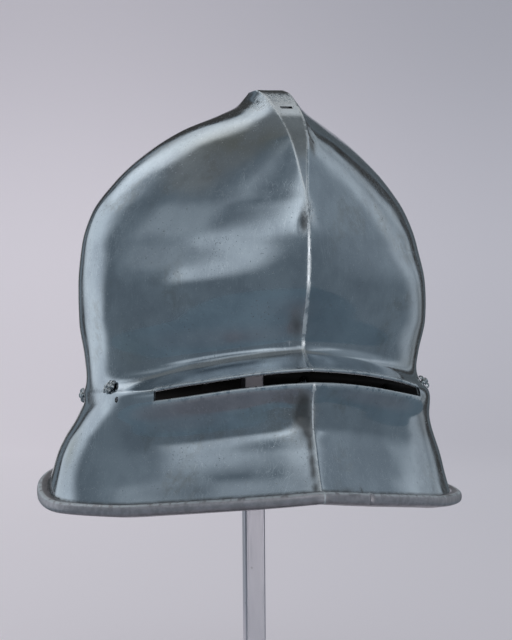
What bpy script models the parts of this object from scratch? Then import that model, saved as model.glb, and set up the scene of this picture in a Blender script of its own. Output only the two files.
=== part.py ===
"""A one-piece steel sallet with a medial keel, a sight, a prow-shaped face and a thick turned rim, on a post stand.

Metres, +Z up. The helmet faces -Y, the wearer's left is +X, and the origin is the middle of the stand's underside.
"""

import math

import bpy
import numpy as np
from mathutils import Matrix, Vector
from mathutils.bvhtree import BVHTree

# Sizes of the helmet
SKULL_HEIGHT = 0.179
SKULL_WIDTH = 0.213
SKULL_FRONT = 0.119
SKULL_BACK = 0.123
APEX_WIDTH = 0.0188
KEEL_FLAT = 0.0009
FACE_DEPTH = 0.074
FACE_REACH = 0.138
FLARE_WIDTH = 0.250
TAIL_REACH = 0.182
PLATE = 0.002
RIM_TALL = 0.0068
RIM_OUT = 0.0072
RIM_ROUND = 0.0020
SIGHT_RISE = 0.0135
SIGHT_GAP = 0.0090
SIGHT_END_GAP = 0.0060
LIP_SHARE = 0.83
LIP_DEPTH = 0.017
LIP_TURN = 2.4
CREST_SLOT_WIDTH = 0.0074
CREST_SLOT_HEIGHT = 0.0032
CREST_SLOT_DROP = 0.0128
LACE_HOLE = 0.0036
LACE_HOLE_DROP = 0.0045
LACE_HOLE_AHEAD = 0.018

# Sizes of the lining rivets
RIVET_HEAD = 0.0100
RIVET_HEAD_RISE = 0.0032
RIVET_SHANK = 0.0032
RIVET_CLENCH = 0.0060
RIVET_CLENCH_RISE = 0.0012
RIVET_PETALS = 6
RIVET_PETAL_DEPTH = 0.22

# Sizes of the stand
POST_WIDTH = 0.0128
POST_DEPTH = 0.0080
STAND_DROP = 0.110
BASE_SIDE = 0.180
BASE_THICK = 0.008
BASE_BEVEL = 0.0012
SADDLE_RADIUS = 0.026
SADDLE_DEPTH = 0.012

CLEARANCE = 0.0003
CUT_REACH = 0.005
SAMPLE_STEP = 0.002
SKULL_STEPS = 14
STEP_CROWDING = 0.09
STATION_CROWDING = 1.15
FACE_STEPS = 7
SIDE_STATIONS = 32

WAIST = BASE_THICK + STAND_DROP + FACE_DEPTH
APEX = WAIST + SKULL_HEIGHT

# Level sections of the skull, from the waist up. level is a share of SKULL_HEIGHT, width of half SKULL_WIDTH,
# front of SKULL_FRONT, facet of half APEX_WIDTH and back of SKULL_BACK. beam is where the section is widest, a share
# of SKULL_FRONT ahead of the post. The last four are how full the front and back quarters are.
SKULL_SECTIONS = (
    ("level", "width", "front", "facet", "back", "beam", "keel_turn", "front_full", "tail_turn", "back_full"),
    (1.000, 0.080, 0.362, 0.90, -0.10, 0.24, 1.90, 2.20, 1.50, 2.00),
    (0.983, 0.096, 0.460, 0.90, 0.00, 0.22, 1.80, 2.10, 1.40, 2.00),
    (0.958, 0.128, 0.552, 0.86, 0.14, 0.20, 1.45, 1.80, 1.25, 1.90),
    (0.925, 0.234, 0.648, 0.84, 0.31, 0.15, 1.10, 1.50, 1.20, 1.90),
    (0.877, 0.430, 0.760, 0.72, 0.50, 0.10, 1.00, 1.35, 1.20, 1.95),
    (0.810, 0.605, 0.857, 0.54, 0.66, 0.05, 1.05, 1.40, 1.20, 2.00),
    (0.709, 0.790, 0.924, 0.26, 0.81, 0.02, 1.10, 1.52, 1.20, 2.10),
    (0.598, 0.925, 0.975, 0.00, 0.91, 0.00, 1.15, 1.62, 1.20, 2.15),
    (0.486, 0.985, 1.000, 0.00, 0.97, 0.00, 1.15, 1.80, 1.20, 2.15),
    (0.352, 1.008, 0.987, 0.00, 1.00, 0.00, 1.20, 2.20, 1.20, 2.10),
    (0.229, 1.003, 0.924, 0.00, 1.00, 0.00, 1.20, 2.40, 1.20, 2.10),
    (0.117, 0.975, 0.870, 0.00, 0.98, 0.00, 1.20, 2.20, 1.20, 2.10),
    (-0.02, 0.948, 0.845, 0.00, 0.95, 0.00, 1.20, 2.00, 1.20, 2.10),
)

# Sections of the face and flare. depth is the share of the way from the face's top edge to the rim, side is a share
# of half FLARE_WIDTH, ridge of FACE_REACH and tail of TAIL_REACH.
FACE_SECTIONS = (
    ("depth", "side", "ridge", "tail", "ridge_turn", "front_full", "tail_turn", "back_full"),
    (0.0, 0.835, 0.920, 0.670, 1.12, 2.90, 1.2, 2.10),
    (0.2, 0.875, 0.899, 0.698, 1.12, 2.20, 1.2, 2.10),
    (0.4, 0.924, 0.899, 0.742, 1.12, 1.80, 1.2, 2.10),
    (0.6, 0.960, 0.928, 0.813, 1.12, 1.72, 1.2, 2.10),
    (0.8, 0.981, 0.960, 0.900, 1.12, 1.75, 1.2, 2.10),
    (1.0, 1.000, 1.000, 1.000, 1.12, 1.85, 1.2, 2.10),
)

# Heights of the edges at shares of the way round, from the keel to the tail. lip is a share of SIGHT_RISE above the
# waist, gap a share of SIGHT_GAP between the lip and the face's top edge, and rim a share of FACE_DEPTH.
EDGES = (
    ("station", "lip", "gap", "rim"),
    (0.00, 1.00, 1.00, 0.838),
    (0.05, 0.92, 0.99, 0.866),
    (0.12, 0.74, 1.00, 0.900),
    (0.20, 0.44, 0.98, 0.937),
    (0.30, 0.06, 0.84, 0.980),
    (0.40, -0.10, 0.70, 0.985),
    (0.48, -0.14, 0.80, 0.950),
    (0.58, -0.06, 1.00, 0.860),
    (0.70, 0.10, 1.00, 0.800),
    (0.85, 0.24, 1.00, 0.795),
    (1.00, 0.32, 1.00, 0.820),
)
SIGHT_STATION = 0.275

# Lining rivets: which side, place round the helmet and rise above the lip line.
RIVETS = (
    ("name", "side", "station", "rise"),
    ("rivet_front_right", -1, 0.385, 0.0030),
    ("rivet_front_left", 1, 0.385, 0.0030),
    ("rivet_side_right", -1, 0.605, -0.0045),
    ("rivet_side_left", 1, 0.605, -0.0045),
    ("rivet_rear_right", -1, 0.800, -0.0030),
    ("rivet_rear_left", 1, 0.800, -0.0030),
    ("rivet_tail", 1, 1.000, -0.0030),
)


def column(table, name):
    """One named column of a table, as an array."""
    place = table[0].index(name)
    return np.array([row[place] for row in table[1:]], dtype=float)


def along(table, key, name, place):
    """A column read between its rows by a cubic that never overshoots them."""
    keys = column(table, key)
    values = column(table, name)
    order = np.argsort(keys)
    keys = keys[order]
    values = values[order]
    slope = np.diff(values) / np.diff(keys)
    both = slope[:-1] + slope[1:]
    same_way = slope[:-1] * slope[1:] > 0
    inner = np.where(same_way, 2 * slope[:-1] * slope[1:] / np.where(same_way, both, 1), 0)
    tangent = np.concatenate([slope[:1], inner, slope[-1:]])
    place = np.clip(place, keys[0], keys[-1])
    row = np.clip(np.searchsorted(keys, place) - 1, 0, len(keys) - 2)
    width = keys[row + 1] - keys[row]
    t = (place - keys[row]) / width
    start = (1 + 2 * t) * (1 - t) ** 2 * values[row] + t * (1 - t) ** 2 * width * tangent[row]
    end = t * t * (3 - 2 * t) * values[row + 1] + t * t * (t - 1) * width * tangent[row + 1]
    return start + end


def half_outline(half_width, front, flat, back, beam, turns, stations):
    """Points at shares of the way round one half of a level section, from its front to its back.

    Each quarter is (across/half width)^turn + (along/reach)^fullness = 1, so a turn near 1 makes a keel and a
    larger fullness a squarer quarter. Every argument but turns and stations holds one value for each station.
    """
    keel_turn, front_full, tail_turn, back_full = turns
    quarter = np.linspace(0, math.pi / 2, 160)[:, None]
    rear = quarter[::-1]
    front_x = flat + (half_width - flat) * np.sin(quarter) ** (2 / keel_turn)
    front_y = beam + (front - beam) * np.cos(quarter) ** (2 / front_full)
    back_x = half_width * np.sin(rear) ** (2 / tail_turn)
    back_y = beam - (beam + back) * np.cos(rear) ** (2 / back_full)
    x = np.concatenate([front_x, back_x[1:]])
    y = np.concatenate([front_y, back_y[1:]])
    run = np.vstack([np.zeros(x.shape[1]), np.cumsum(np.hypot(np.diff(x, axis=0), np.diff(y, axis=0)), axis=0)])
    share = run / run[-1]
    at_x = np.array([np.interp(s, share[:, k], x[:, k]) for k, s in enumerate(stations)])
    at_y = np.array([np.interp(s, share[:, k], y[:, k]) for k, s in enumerate(stations)])
    return at_x, -at_y


def lip_height(stations):
    """Height of the sight's upper lip, and of the waist behind it."""
    return WAIST + SIGHT_RISE * along(EDGES, "station", "lip", stations)


def face_top_height(stations):
    """Height of the face's top edge below the lip."""
    gap = SIGHT_GAP * along(EDGES, "station", "gap", stations)
    return lip_height(stations) - np.maximum(gap, SIGHT_END_GAP)


def rim_height(stations):
    """Height of the rim's underside."""
    return WAIST - FACE_DEPTH * along(EDGES, "station", "rim", stations)


def face_points(depth, stations):
    """Half a section of the face and flare at a share of its depth."""
    at = np.full(stations.shape, depth)
    turns = [along(FACE_SECTIONS, "depth", name, at)
             for name in ("ridge_turn", "front_full", "tail_turn", "back_full")]
    x, y = half_outline(
        FLARE_WIDTH / 2 * along(FACE_SECTIONS, "depth", "side", at),
        FACE_REACH * along(FACE_SECTIONS, "depth", "ridge", at),
        np.full(stations.shape, KEEL_FLAT / 2),
        TAIL_REACH * along(FACE_SECTIONS, "depth", "tail", at),
        np.zeros(stations.shape),
        turns,
        stations,
    )
    top = face_top_height(stations)
    z = top + (rim_height(stations) + RIM_TALL - top) * depth
    return np.column_stack([x, y, z])


def skull_points(height, stations):
    """Half a section of the skull at the given heights, with the lip turned out towards the face's top edge."""
    level = (height - WAIST) / SKULL_HEIGHT
    turns = [along(SKULL_SECTIONS, "level", name, level)
             for name in ("keel_turn", "front_full", "tail_turn", "back_full")]
    flat = APEX_WIDTH / 2 * along(SKULL_SECTIONS, "level", "facet", level)
    x, y = half_outline(
        SKULL_WIDTH / 2 * along(SKULL_SECTIONS, "level", "width", level),
        SKULL_FRONT * along(SKULL_SECTIONS, "level", "front", level),
        np.maximum(flat, KEEL_FLAT / 2),
        SKULL_BACK * along(SKULL_SECTIONS, "level", "back", level),
        SKULL_FRONT * along(SKULL_SECTIONS, "level", "beam", level),
        turns,
        stations,
    )
    edge = face_points(0.0, stations)
    rise = (height - lip_height(stations)) / LIP_DEPTH
    turned = LIP_SHARE * np.clip(1 - rise, 0, 1) ** LIP_TURN
    x = x + turned * (edge[:, 0] - x)
    y = y + turned * (edge[:, 1] - y)
    return np.column_stack([x, y, height])


def wall_points(height, stations):
    """The outer surface from the apex to the rim's top, at the given heights."""
    lip = lip_height(stations)
    top = face_top_height(stations)
    upper = skull_points(np.maximum(height, lip), stations)
    depth = (top - height) / (top - rim_height(stations) - RIM_TALL)
    lower = np.array([face_points(d, s[None])[0] for d, s in zip(np.clip(depth, 0, 1), stations)])
    share = np.clip((lip - height) / (lip - top), 0, 1)[:, None]
    return upper + (lower - upper) * share


def surface_point(side, station, height):
    """A point of the outer surface and the direction out of it."""
    step = SAMPLE_STEP
    stations = np.array([station, min(station + step, 1.0), max(station - step, 0.0), station, station])
    heights = np.array([height, height, height, height + step, height - step])
    points = wall_points(heights, stations)
    if station + step > 1.0:
        points[1] = points[2] * (-1, 1, 1)
    points[:, 0] *= side
    out = np.cross(points[1] - points[2], points[3] - points[4])
    out /= np.linalg.norm(out)
    if out @ (points[0] * (1, 1, 0)) < 0:
        out = -out
    return points[0], out


def both_halves(half):
    """A whole row from its half: the wearer's left from the keel to the tail, then the right back to the keel."""
    return np.concatenate([half, (half * (-1, 1, 1))[-2::-1]])


def row_normals(rows, closed_ends):
    """Directions out of a block of rows, each row a loop."""
    round_way = np.roll(rows, -1, axis=1) - np.roll(rows, 1, axis=1)
    down_way = np.gradient(rows, axis=0)
    out = np.cross(down_way, round_way)
    out /= np.linalg.norm(out, axis=2)[:, :, None]
    if closed_ends:
        out[0] = (0, 0, 1)
    return out


def skull_rows(stations):
    """Outer rows from the apex to the lip, closer together at the comb and at the lip."""
    rows = []
    for k in range(SKULL_STEPS + 1):
        even = k / SKULL_STEPS
        share = even - STEP_CROWDING * math.sin(2 * math.pi * even)
        lip = lip_height(stations)
        rows.append(both_halves(skull_points(APEX + (lip - APEX) * share, stations)))
    return np.array(rows)


def face_rows(stations):
    """Outer rows from the face's top edge to the top of the rim."""
    return np.array([both_halves(face_points(k / FACE_STEPS, stations)) for k in range(FACE_STEPS + 1)])


def rim_rows(wall, inner_wall):
    """The rim's section carried round the wall's lower edge: out, rounded over, down and back under."""
    ahead = np.roll(wall, -1, axis=0) - np.roll(wall, 1, axis=0)
    out = np.column_stack([-ahead[:, 1], ahead[:, 0], np.zeros(len(wall))]) * -1
    out /= np.linalg.norm(out, axis=1)[:, None]
    down = np.array((0, 0, -1.0))
    section = (
        (RIM_OUT - RIM_ROUND, 0.0),
        (RIM_OUT, RIM_ROUND),
        (RIM_OUT, RIM_TALL - RIM_ROUND),
        (RIM_OUT - RIM_ROUND, RIM_TALL),
    )
    rows = [wall + out * reach + down * drop for reach, drop in section]
    foot = inner_wall + down * RIM_TALL
    return np.array(rows + [foot])


def shell_mesh():
    """The plate's outer and inner sheets, joined round the rim and round the sight."""
    even = np.linspace(0, 1, SIDE_STATIONS + 1) ** STATION_CROWDING
    clear_of_sight = np.abs(even - SIGHT_STATION) > 0.3 / SIDE_STATIONS
    stations = np.sort(np.append(even[clear_of_sight], SIGHT_STATION))
    skull = skull_rows(stations)
    face = face_rows(stations)
    loop = skull.shape[1]
    joined = row_normals(np.concatenate([skull, face]), True)
    apart = np.concatenate([row_normals(skull, True), row_normals(face, False)])
    end = int(np.argmin(np.abs(stations - SIGHT_STATION)))
    in_sight = np.zeros(loop, dtype=bool)
    in_sight[: end + 1] = True
    in_sight[loop - end - 1 :] = True
    outer = np.concatenate([skull, face])
    inward = np.where(in_sight[None, :, None], apart, joined)
    inner = outer - inward * PLATE
    inner[0, :, 2] = APEX - PLATE
    rim = rim_rows(outer[-1], inner[-1])
    rows = np.concatenate([outer, rim, inner[::-1]])
    lip_row = len(skull) - 1
    inner_face_row = len(rows) - 1 - (lip_row + 1)

    faces = []
    here = np.arange(loop)
    beyond = (here + 1) % loop
    open_segment = in_sight & in_sight[beyond]
    for row in range(len(rows) - 1):
        across_sight = row in (lip_row, inner_face_row)
        for a, b in zip(here, beyond):
            if across_sight and open_segment[a]:
                continue
            faces.append((row * loop + a, (row + 1) * loop + a, (row + 1) * loop + b, row * loop + b))
    last = (len(rows) - 1) * loop
    inner_lip_row = inner_face_row + 1
    for a, b in zip(here[open_segment], beyond[open_segment]):
        faces.append((lip_row * loop + a, inner_lip_row * loop + a, inner_lip_row * loop + b, lip_row * loop + b))
        faces.append((inner_face_row * loop + a, (lip_row + 1) * loop + a,
                      (lip_row + 1) * loop + b, inner_face_row * loop + b))
    for edge, flip in ((end, False), (loop - end - 1, True)):
        ring = [lip_row * loop + edge, (lip_row + 1) * loop + edge,
                inner_face_row * loop + edge, inner_lip_row * loop + edge]
        faces.append(ring if flip else ring[::-1])
    for k in range(len(stations) - 1):
        left, right = k, loop - 1 - k
        nearer = (k + 1, loop - 2 - k)
        ring = (left, nearer[0], nearer[1], right)
        ring = tuple(dict.fromkeys(ring))
        faces.append(ring)
        faces.append(tuple(last + v for v in reversed(ring)))
    return rows.reshape(-1, 3), faces


def material(name, colour, roughness, metallic):
    """A plain Principled finish; the colour is linear."""
    made = bpy.data.materials.new(name)
    made.use_nodes = True
    shader = made.node_tree.nodes["Principled BSDF"]
    shader.inputs["Base Color"].default_value = (*colour, 1.0)
    shader.inputs["Roughness"].default_value = roughness
    shader.inputs["Metallic"].default_value = metallic
    return made


def add_object(name, points, faces, finish):
    """A mesh object made from points and faces, shaded smooth away from its creases."""
    mesh = bpy.data.meshes.new(name)
    mesh.from_pydata([tuple(p) for p in points], [], [tuple(int(v) for v in f) for f in faces])
    mesh.update()
    piece = bpy.data.objects.new(name, mesh)
    bpy.context.scene.collection.objects.link(piece)
    if finish:
        mesh.materials.append(finish)
    mesh.shade_smooth()
    mesh.set_sharp_from_angle(angle=math.radians(35))
    return piece


def out_frame(point, out):
    """A frame whose Z points out of the plate and whose X is level."""
    z = Vector(out)
    x = Vector((0, 0, 1)).cross(z).normalized()
    y = z.cross(x)
    turn = Matrix((x, y, z)).transposed().to_4x4()
    return Matrix.Translation(Vector(point)) @ turn


def cutter(name, points, faces, frame, target):
    """A hidden solid that a Boolean takes out of the target."""
    tool = add_object(name, points, faces, None)
    tool.matrix_world = frame
    tool.hide_render = True
    tool.display_type = "WIRE"
    cut = target.modifiers.new(name, "BOOLEAN")
    cut.operation = "DIFFERENCE"
    cut.solver = "EXACT"
    cut.object = tool


def turned(profile, sides, petals=0, petal_depth=0.0):
    """A solid of revolution about Z with closed ends; petals scallop the rows that ask for them."""
    angle = np.linspace(0, 2 * math.pi, sides, endpoint=False)
    points = []
    for radius, height, lobed in profile:
        reach = radius * (1 - lobed * petal_depth * (0.5 - 0.5 * np.cos(petals * angle)))
        points.append(np.column_stack([reach * np.cos(angle), reach * np.sin(angle), np.full(sides, height)]))
    faces = []
    for row in range(len(profile) - 1):
        for a in range(sides):
            b = (a + 1) % sides
            faces.append((row * sides + a, row * sides + b, (row + 1) * sides + b, (row + 1) * sides + a))
    faces.append(tuple(range(sides))[::-1])
    faces.append(tuple(range((len(profile) - 1) * sides, len(profile) * sides)))
    return np.concatenate(points), faces


def bar(half_x, half_y, low, high):
    """A rectangular bar along Z."""
    points = [(x, y, z) for z in (low, high) for x, y in
              ((-half_x, -half_y), (half_x, -half_y), (half_x, half_y), (-half_x, half_y))]
    faces = [(3, 2, 1, 0), (4, 5, 6, 7), (0, 1, 5, 4), (1, 2, 6, 5), (2, 3, 7, 6), (3, 0, 4, 7)]
    return points, faces


def seat_height(side, station, height, point, out):
    """How far the curved plate stands up, inside and outside, over a flat washer at the given point."""
    rises = []
    for turn in np.linspace(0, 2 * math.pi, 12, endpoint=False):
        place = min(station + RIVET_HEAD / SKULL_WIDTH / 2 * math.cos(turn), 1.0)
        near, _ = surface_point(side, place, height + RIVET_HEAD / 2 * math.sin(turn))
        rises.append((near - point) @ out)
    return max(max(rises), 0.0), min(min(rises), 0.0)


def add_skull(finish):
    """The helmet's one plate, with its crest slot, lace holes and rivet holes cut through."""
    points, faces = shell_mesh()
    skull = add_object("skull", points, faces, finish)

    slot_height = APEX - CREST_SLOT_DROP
    upper, lower = skull_points(slot_height + np.array([CREST_SLOT_HEIGHT, -CREST_SLOT_HEIGHT]), np.zeros(2))
    slot_out = np.cross((1.0, 0, 0), upper - lower)
    block = bar(CREST_SLOT_WIDTH / 2, CREST_SLOT_HEIGHT / 2, -CUT_REACH, CUT_REACH)
    middle = (upper + lower) / 2 * (0, 1, 1)
    cutter("crest_slot_cutter", *block, out_frame(middle, slot_out / np.linalg.norm(slot_out)), skull)

    for row in RIVETS[1:]:
        name, side, station, rise = row
        height = float(lip_height(np.array([station]))[0]) + rise
        point, out = surface_point(side, station, height)
        hole = RIVET_SHANK / 2 + CLEARANCE
        drill = turned(((hole, -CUT_REACH, 0), (hole, CUT_REACH, 0)), 10)
        cutter(name + "_hole_cutter", *drill, out_frame(point, out), skull)
    for side, name in ((-1, "lace_hole_right"), (1, "lace_hole_left")):
        station = RIVETS[1][2] - LACE_HOLE_AHEAD
        height = float(lip_height(np.array([station]))[0]) - LACE_HOLE_DROP
        point, out = surface_point(side, station, height)
        drill = turned(((LACE_HOLE / 2, -CUT_REACH, 0), (LACE_HOLE / 2, CUT_REACH, 0)), 8)
        cutter(name + "_cutter", *drill, out_frame(point, out), skull)
    return skull


def add_rivets(finish):
    """Rosette-headed rivets: a petalled dome outside, a shank through the plate and a clenched end inside."""
    for name, side, station, rise in RIVETS[1:]:
        height = float(lip_height(np.array([station]))[0]) + rise
        point, out = surface_point(side, station, height)
        above, below = seat_height(side, station, height, point, out)
        seat = above + CLEARANCE
        inside = below - PLATE - CLEARANCE
        head = RIVET_HEAD / 2
        shank = RIVET_SHANK / 2
        clench = RIVET_CLENCH / 2
        profile = (
            (clench * 0.6, inside - RIVET_CLENCH_RISE, 0),
            (clench, inside - RIVET_CLENCH_RISE * 0.5, 0),
            (clench, inside, 0),
            (shank, inside, 0),
            (shank, seat, 0),
            (head * 0.92, seat, 1),
            (head, seat + RIVET_HEAD_RISE * 0.30, 1),
            (head * 0.72, seat + RIVET_HEAD_RISE * 0.70, 0.6),
            (head * 0.36, seat + RIVET_HEAD_RISE * 0.80, 0),
            (head * 0.24, seat + RIVET_HEAD_RISE, 0),
        )
        points, faces = turned(profile, 2 * RIVET_PETALS, RIVET_PETALS, RIVET_PETAL_DEPTH)
        rivet = add_object(name, points, faces, finish)
        rivet.matrix_world = out_frame(point, out)


def crown_underside(plate, radius, angle, ring_gap, turn_gap):
    """Lowest height of the crown's inner face above a point of the saddle and its surroundings."""
    heights = []
    for reach in (max(radius - ring_gap, 0.0), radius, radius + ring_gap):
        for turn in (angle - turn_gap, angle, angle + turn_gap):
            foot = Vector((reach * math.cos(turn), reach * math.sin(turn), WAIST))
            heights.append(plate.ray_cast(foot, Vector((0, 0, 1)))[0].z)
    return min(heights)


def add_post(finish):
    """The upright with a round saddle whose top follows the crown from inside."""
    plate = BVHTree.FromPolygons(*shell_mesh())
    sides = 24
    rings = 5
    angle = np.linspace(0, 2 * math.pi, sides, endpoint=False)
    radii = np.linspace(SADDLE_RADIUS, SADDLE_RADIUS / rings, rings)
    tops = []
    ring_gap = SADDLE_RADIUS / rings
    turn_gap = 2 * math.pi / sides
    for radius in radii:
        height = [crown_underside(plate, radius, turn, ring_gap, turn_gap) - CLEARANCE for turn in angle]
        tops.append(np.column_stack([radius * np.cos(angle), radius * np.sin(angle), height]))
    peak = crown_underside(plate, 0.0, 0.0, ring_gap, turn_gap) - CLEARANCE
    surface = np.concatenate(tops + [np.array([[0.0, 0.0, peak]])])
    under = float(surface[:, 2].min()) - SADDLE_DEPTH
    to_side = POST_WIDTH / 2 / np.maximum(np.abs(np.cos(angle)), 1e-9)
    to_face = POST_DEPTH / 2 / np.maximum(np.abs(np.sin(angle)), 1e-9)
    corner = np.minimum(to_side, to_face)
    foot = BASE_THICK + CLEARANCE
    collar = np.column_stack([np.cos(angle) * corner, np.sin(angle) * corner, np.full(sides, under)])
    bottom = collar * (1, 1, 0) + (0, 0, foot)
    rim = np.column_stack([SADDLE_RADIUS * np.cos(angle), SADDLE_RADIUS * np.sin(angle),
                           np.full(sides, under + SADDLE_DEPTH * 0.6)])
    rows = np.concatenate([bottom, collar, rim, surface])
    faces = [tuple(range(sides))[::-1]]
    for row in range(2 + rings):
        for a in range(sides):
            b = (a + 1) % sides
            faces.append((row * sides + a, row * sides + b, (row + 1) * sides + b, (row + 1) * sides + a))
    top = len(rows) - 1
    last = (2 + rings) * sides
    for a in range(sides):
        faces.append((last + a, last + (a + 1) % sides, top))
    return add_object("post", rows, faces, finish)


def add_base(finish):
    """The stand's flat foot."""
    points, faces = bar(BASE_SIDE / 2, BASE_SIDE / 2, 0.0, BASE_THICK)
    plate = add_object("base_plate", points, faces, finish)
    edge = plate.modifiers.new("edge", "BEVEL")
    edge.width = BASE_BEVEL
    edge.segments = 2
    return plate


def main():
    for old in list(bpy.data.objects):
        bpy.data.objects.remove(old, do_unlink=True)
    steel = material("polished plate steel", (0.20, 0.24, 0.27), 0.32, 1.0)
    rivet_steel = material("rivet steel", (0.24, 0.24, 0.25), 0.40, 1.0)
    stand_steel = material("satin stand steel", (0.38, 0.37, 0.38), 0.45, 1.0)
    add_skull(steel)
    add_rivets(rivet_steel)
    add_post(stand_steel)
    add_base(stand_steel)


main()
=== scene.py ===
"""A late medieval sallet of old polished steel on a plain post stand, built over the frame's CAD.

The helmet faces -Y and the wearer's left is +X. Sizes are in metres, and tables hold shares of named sizes.
"""

import math
from functools import partial

import bpy
import numpy as np
from mathutils import Matrix, Vector


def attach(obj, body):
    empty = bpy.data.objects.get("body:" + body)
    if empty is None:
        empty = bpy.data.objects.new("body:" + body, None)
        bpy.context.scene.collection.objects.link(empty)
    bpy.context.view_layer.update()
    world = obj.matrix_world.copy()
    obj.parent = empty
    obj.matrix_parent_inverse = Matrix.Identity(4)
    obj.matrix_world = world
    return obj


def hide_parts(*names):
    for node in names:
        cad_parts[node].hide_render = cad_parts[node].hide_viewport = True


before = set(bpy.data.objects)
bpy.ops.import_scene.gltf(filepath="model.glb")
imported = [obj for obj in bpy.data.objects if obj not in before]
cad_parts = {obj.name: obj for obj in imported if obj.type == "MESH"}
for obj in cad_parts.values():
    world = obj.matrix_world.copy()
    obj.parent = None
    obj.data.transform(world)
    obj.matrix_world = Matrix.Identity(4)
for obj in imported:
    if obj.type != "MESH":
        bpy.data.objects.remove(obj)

bl_info = {
    "name": "Sallet on a Post Stand",
    "version": (1, 0, 0),
    "blender": (4, 5, 0),
    "location": "3D View > Sidebar > Sallet",
    "description": "Builds a keeled sallet, its rosette rivets, its stand and a plain studio",
    "category": "Object",
}

# Level sections of the skull: level is a share of its height over the waist, width of half its width, front
# and beam of its front reach, facet of half the apex's width and back of its back reach.
SKULL_SECTIONS = (
    ("level", "width", "front", "facet", "back", "beam", "keel_turn", "front_full", "tail_turn", "back_full"),
    (1.000, 0.080, 0.362, 0.90, -0.10, 0.24, 1.90, 2.20, 1.50, 2.00),
    (0.983, 0.096, 0.460, 0.90, 0.00, 0.22, 1.80, 2.10, 1.40, 2.00),
    (0.958, 0.128, 0.552, 0.86, 0.14, 0.20, 1.45, 1.80, 1.25, 1.90),
    (0.925, 0.234, 0.648, 0.84, 0.31, 0.15, 1.10, 1.50, 1.20, 1.90),
    (0.877, 0.430, 0.760, 0.72, 0.50, 0.10, 1.00, 1.35, 1.20, 1.95),
    (0.810, 0.605, 0.857, 0.54, 0.66, 0.05, 1.05, 1.40, 1.20, 2.00),
    (0.709, 0.790, 0.924, 0.26, 0.81, 0.02, 1.10, 1.52, 1.20, 2.10),
    (0.598, 0.925, 0.975, 0.00, 0.91, 0.00, 1.15, 1.62, 1.20, 2.15),
    (0.486, 0.985, 1.000, 0.00, 0.97, 0.00, 1.15, 1.80, 1.20, 2.15),
    (0.352, 1.008, 0.987, 0.00, 1.00, 0.00, 1.20, 2.20, 1.20, 2.10),
    (0.229, 1.003, 0.924, 0.00, 1.00, 0.00, 1.20, 2.40, 1.20, 2.10),
    (0.117, 0.975, 0.870, 0.00, 0.98, 0.00, 1.20, 2.20, 1.20, 2.10),
    (-0.02, 0.948, 0.845, 0.00, 0.95, 0.00, 1.20, 2.00, 1.20, 2.10),
)

# Sections of the face and flare, from the face's top edge (0) to the rim (1).
FACE_SECTIONS = (
    ("depth", "side", "ridge", "tail", "ridge_turn", "front_full", "tail_turn", "back_full"),
    (0.0, 0.835, 0.920, 0.670, 1.12, 2.90, 1.2, 2.10),
    (0.2, 0.875, 0.899, 0.698, 1.12, 2.20, 1.2, 2.10),
    (0.4, 0.924, 0.899, 0.742, 1.12, 1.80, 1.2, 2.10),
    (0.6, 0.960, 0.928, 0.813, 1.12, 1.72, 1.2, 2.10),
    (0.8, 0.981, 0.960, 0.900, 1.12, 1.75, 1.2, 2.10),
    (1.0, 1.000, 1.000, 1.000, 1.12, 1.85, 1.2, 2.10),
)

# Heights of the edges from the keel (0) to the tail (1): lip is a share of the sight's rise above the waist,
# gap of the sight's height and rim of the face's depth.
EDGES = (
    ("station", "lip", "gap", "rim"),
    (0.00, 1.00, 1.00, 0.838),
    (0.05, 0.92, 0.99, 0.866),
    (0.12, 0.74, 1.00, 0.900),
    (0.20, 0.44, 0.98, 0.937),
    (0.30, 0.06, 0.84, 0.980),
    (0.40, -0.10, 0.70, 0.985),
    (0.48, -0.14, 0.80, 0.950),
    (0.58, -0.06, 1.00, 0.860),
    (0.70, 0.10, 1.00, 0.800),
    (0.85, 0.24, 1.00, 0.795),
    (1.00, 0.32, 1.00, 0.820),
)

# Lining rivets: side (1 is the wearer's left), place round the helmet and rise above the lip line in metres.
RIVETS = (
    ("rivet_front_right", -1, 0.385, 0.0030),
    ("rivet_front_left", 1, 0.385, 0.0030),
    ("rivet_side_right", -1, 0.605, -0.0045),
    ("rivet_side_left", 1, 0.605, -0.0045),
    ("rivet_rear_right", -1, 0.800, -0.0030),
    ("rivet_rear_left", 1, 0.800, -0.0030),
    ("rivet_tail", 1, 1.000, -0.0030),
)

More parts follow.
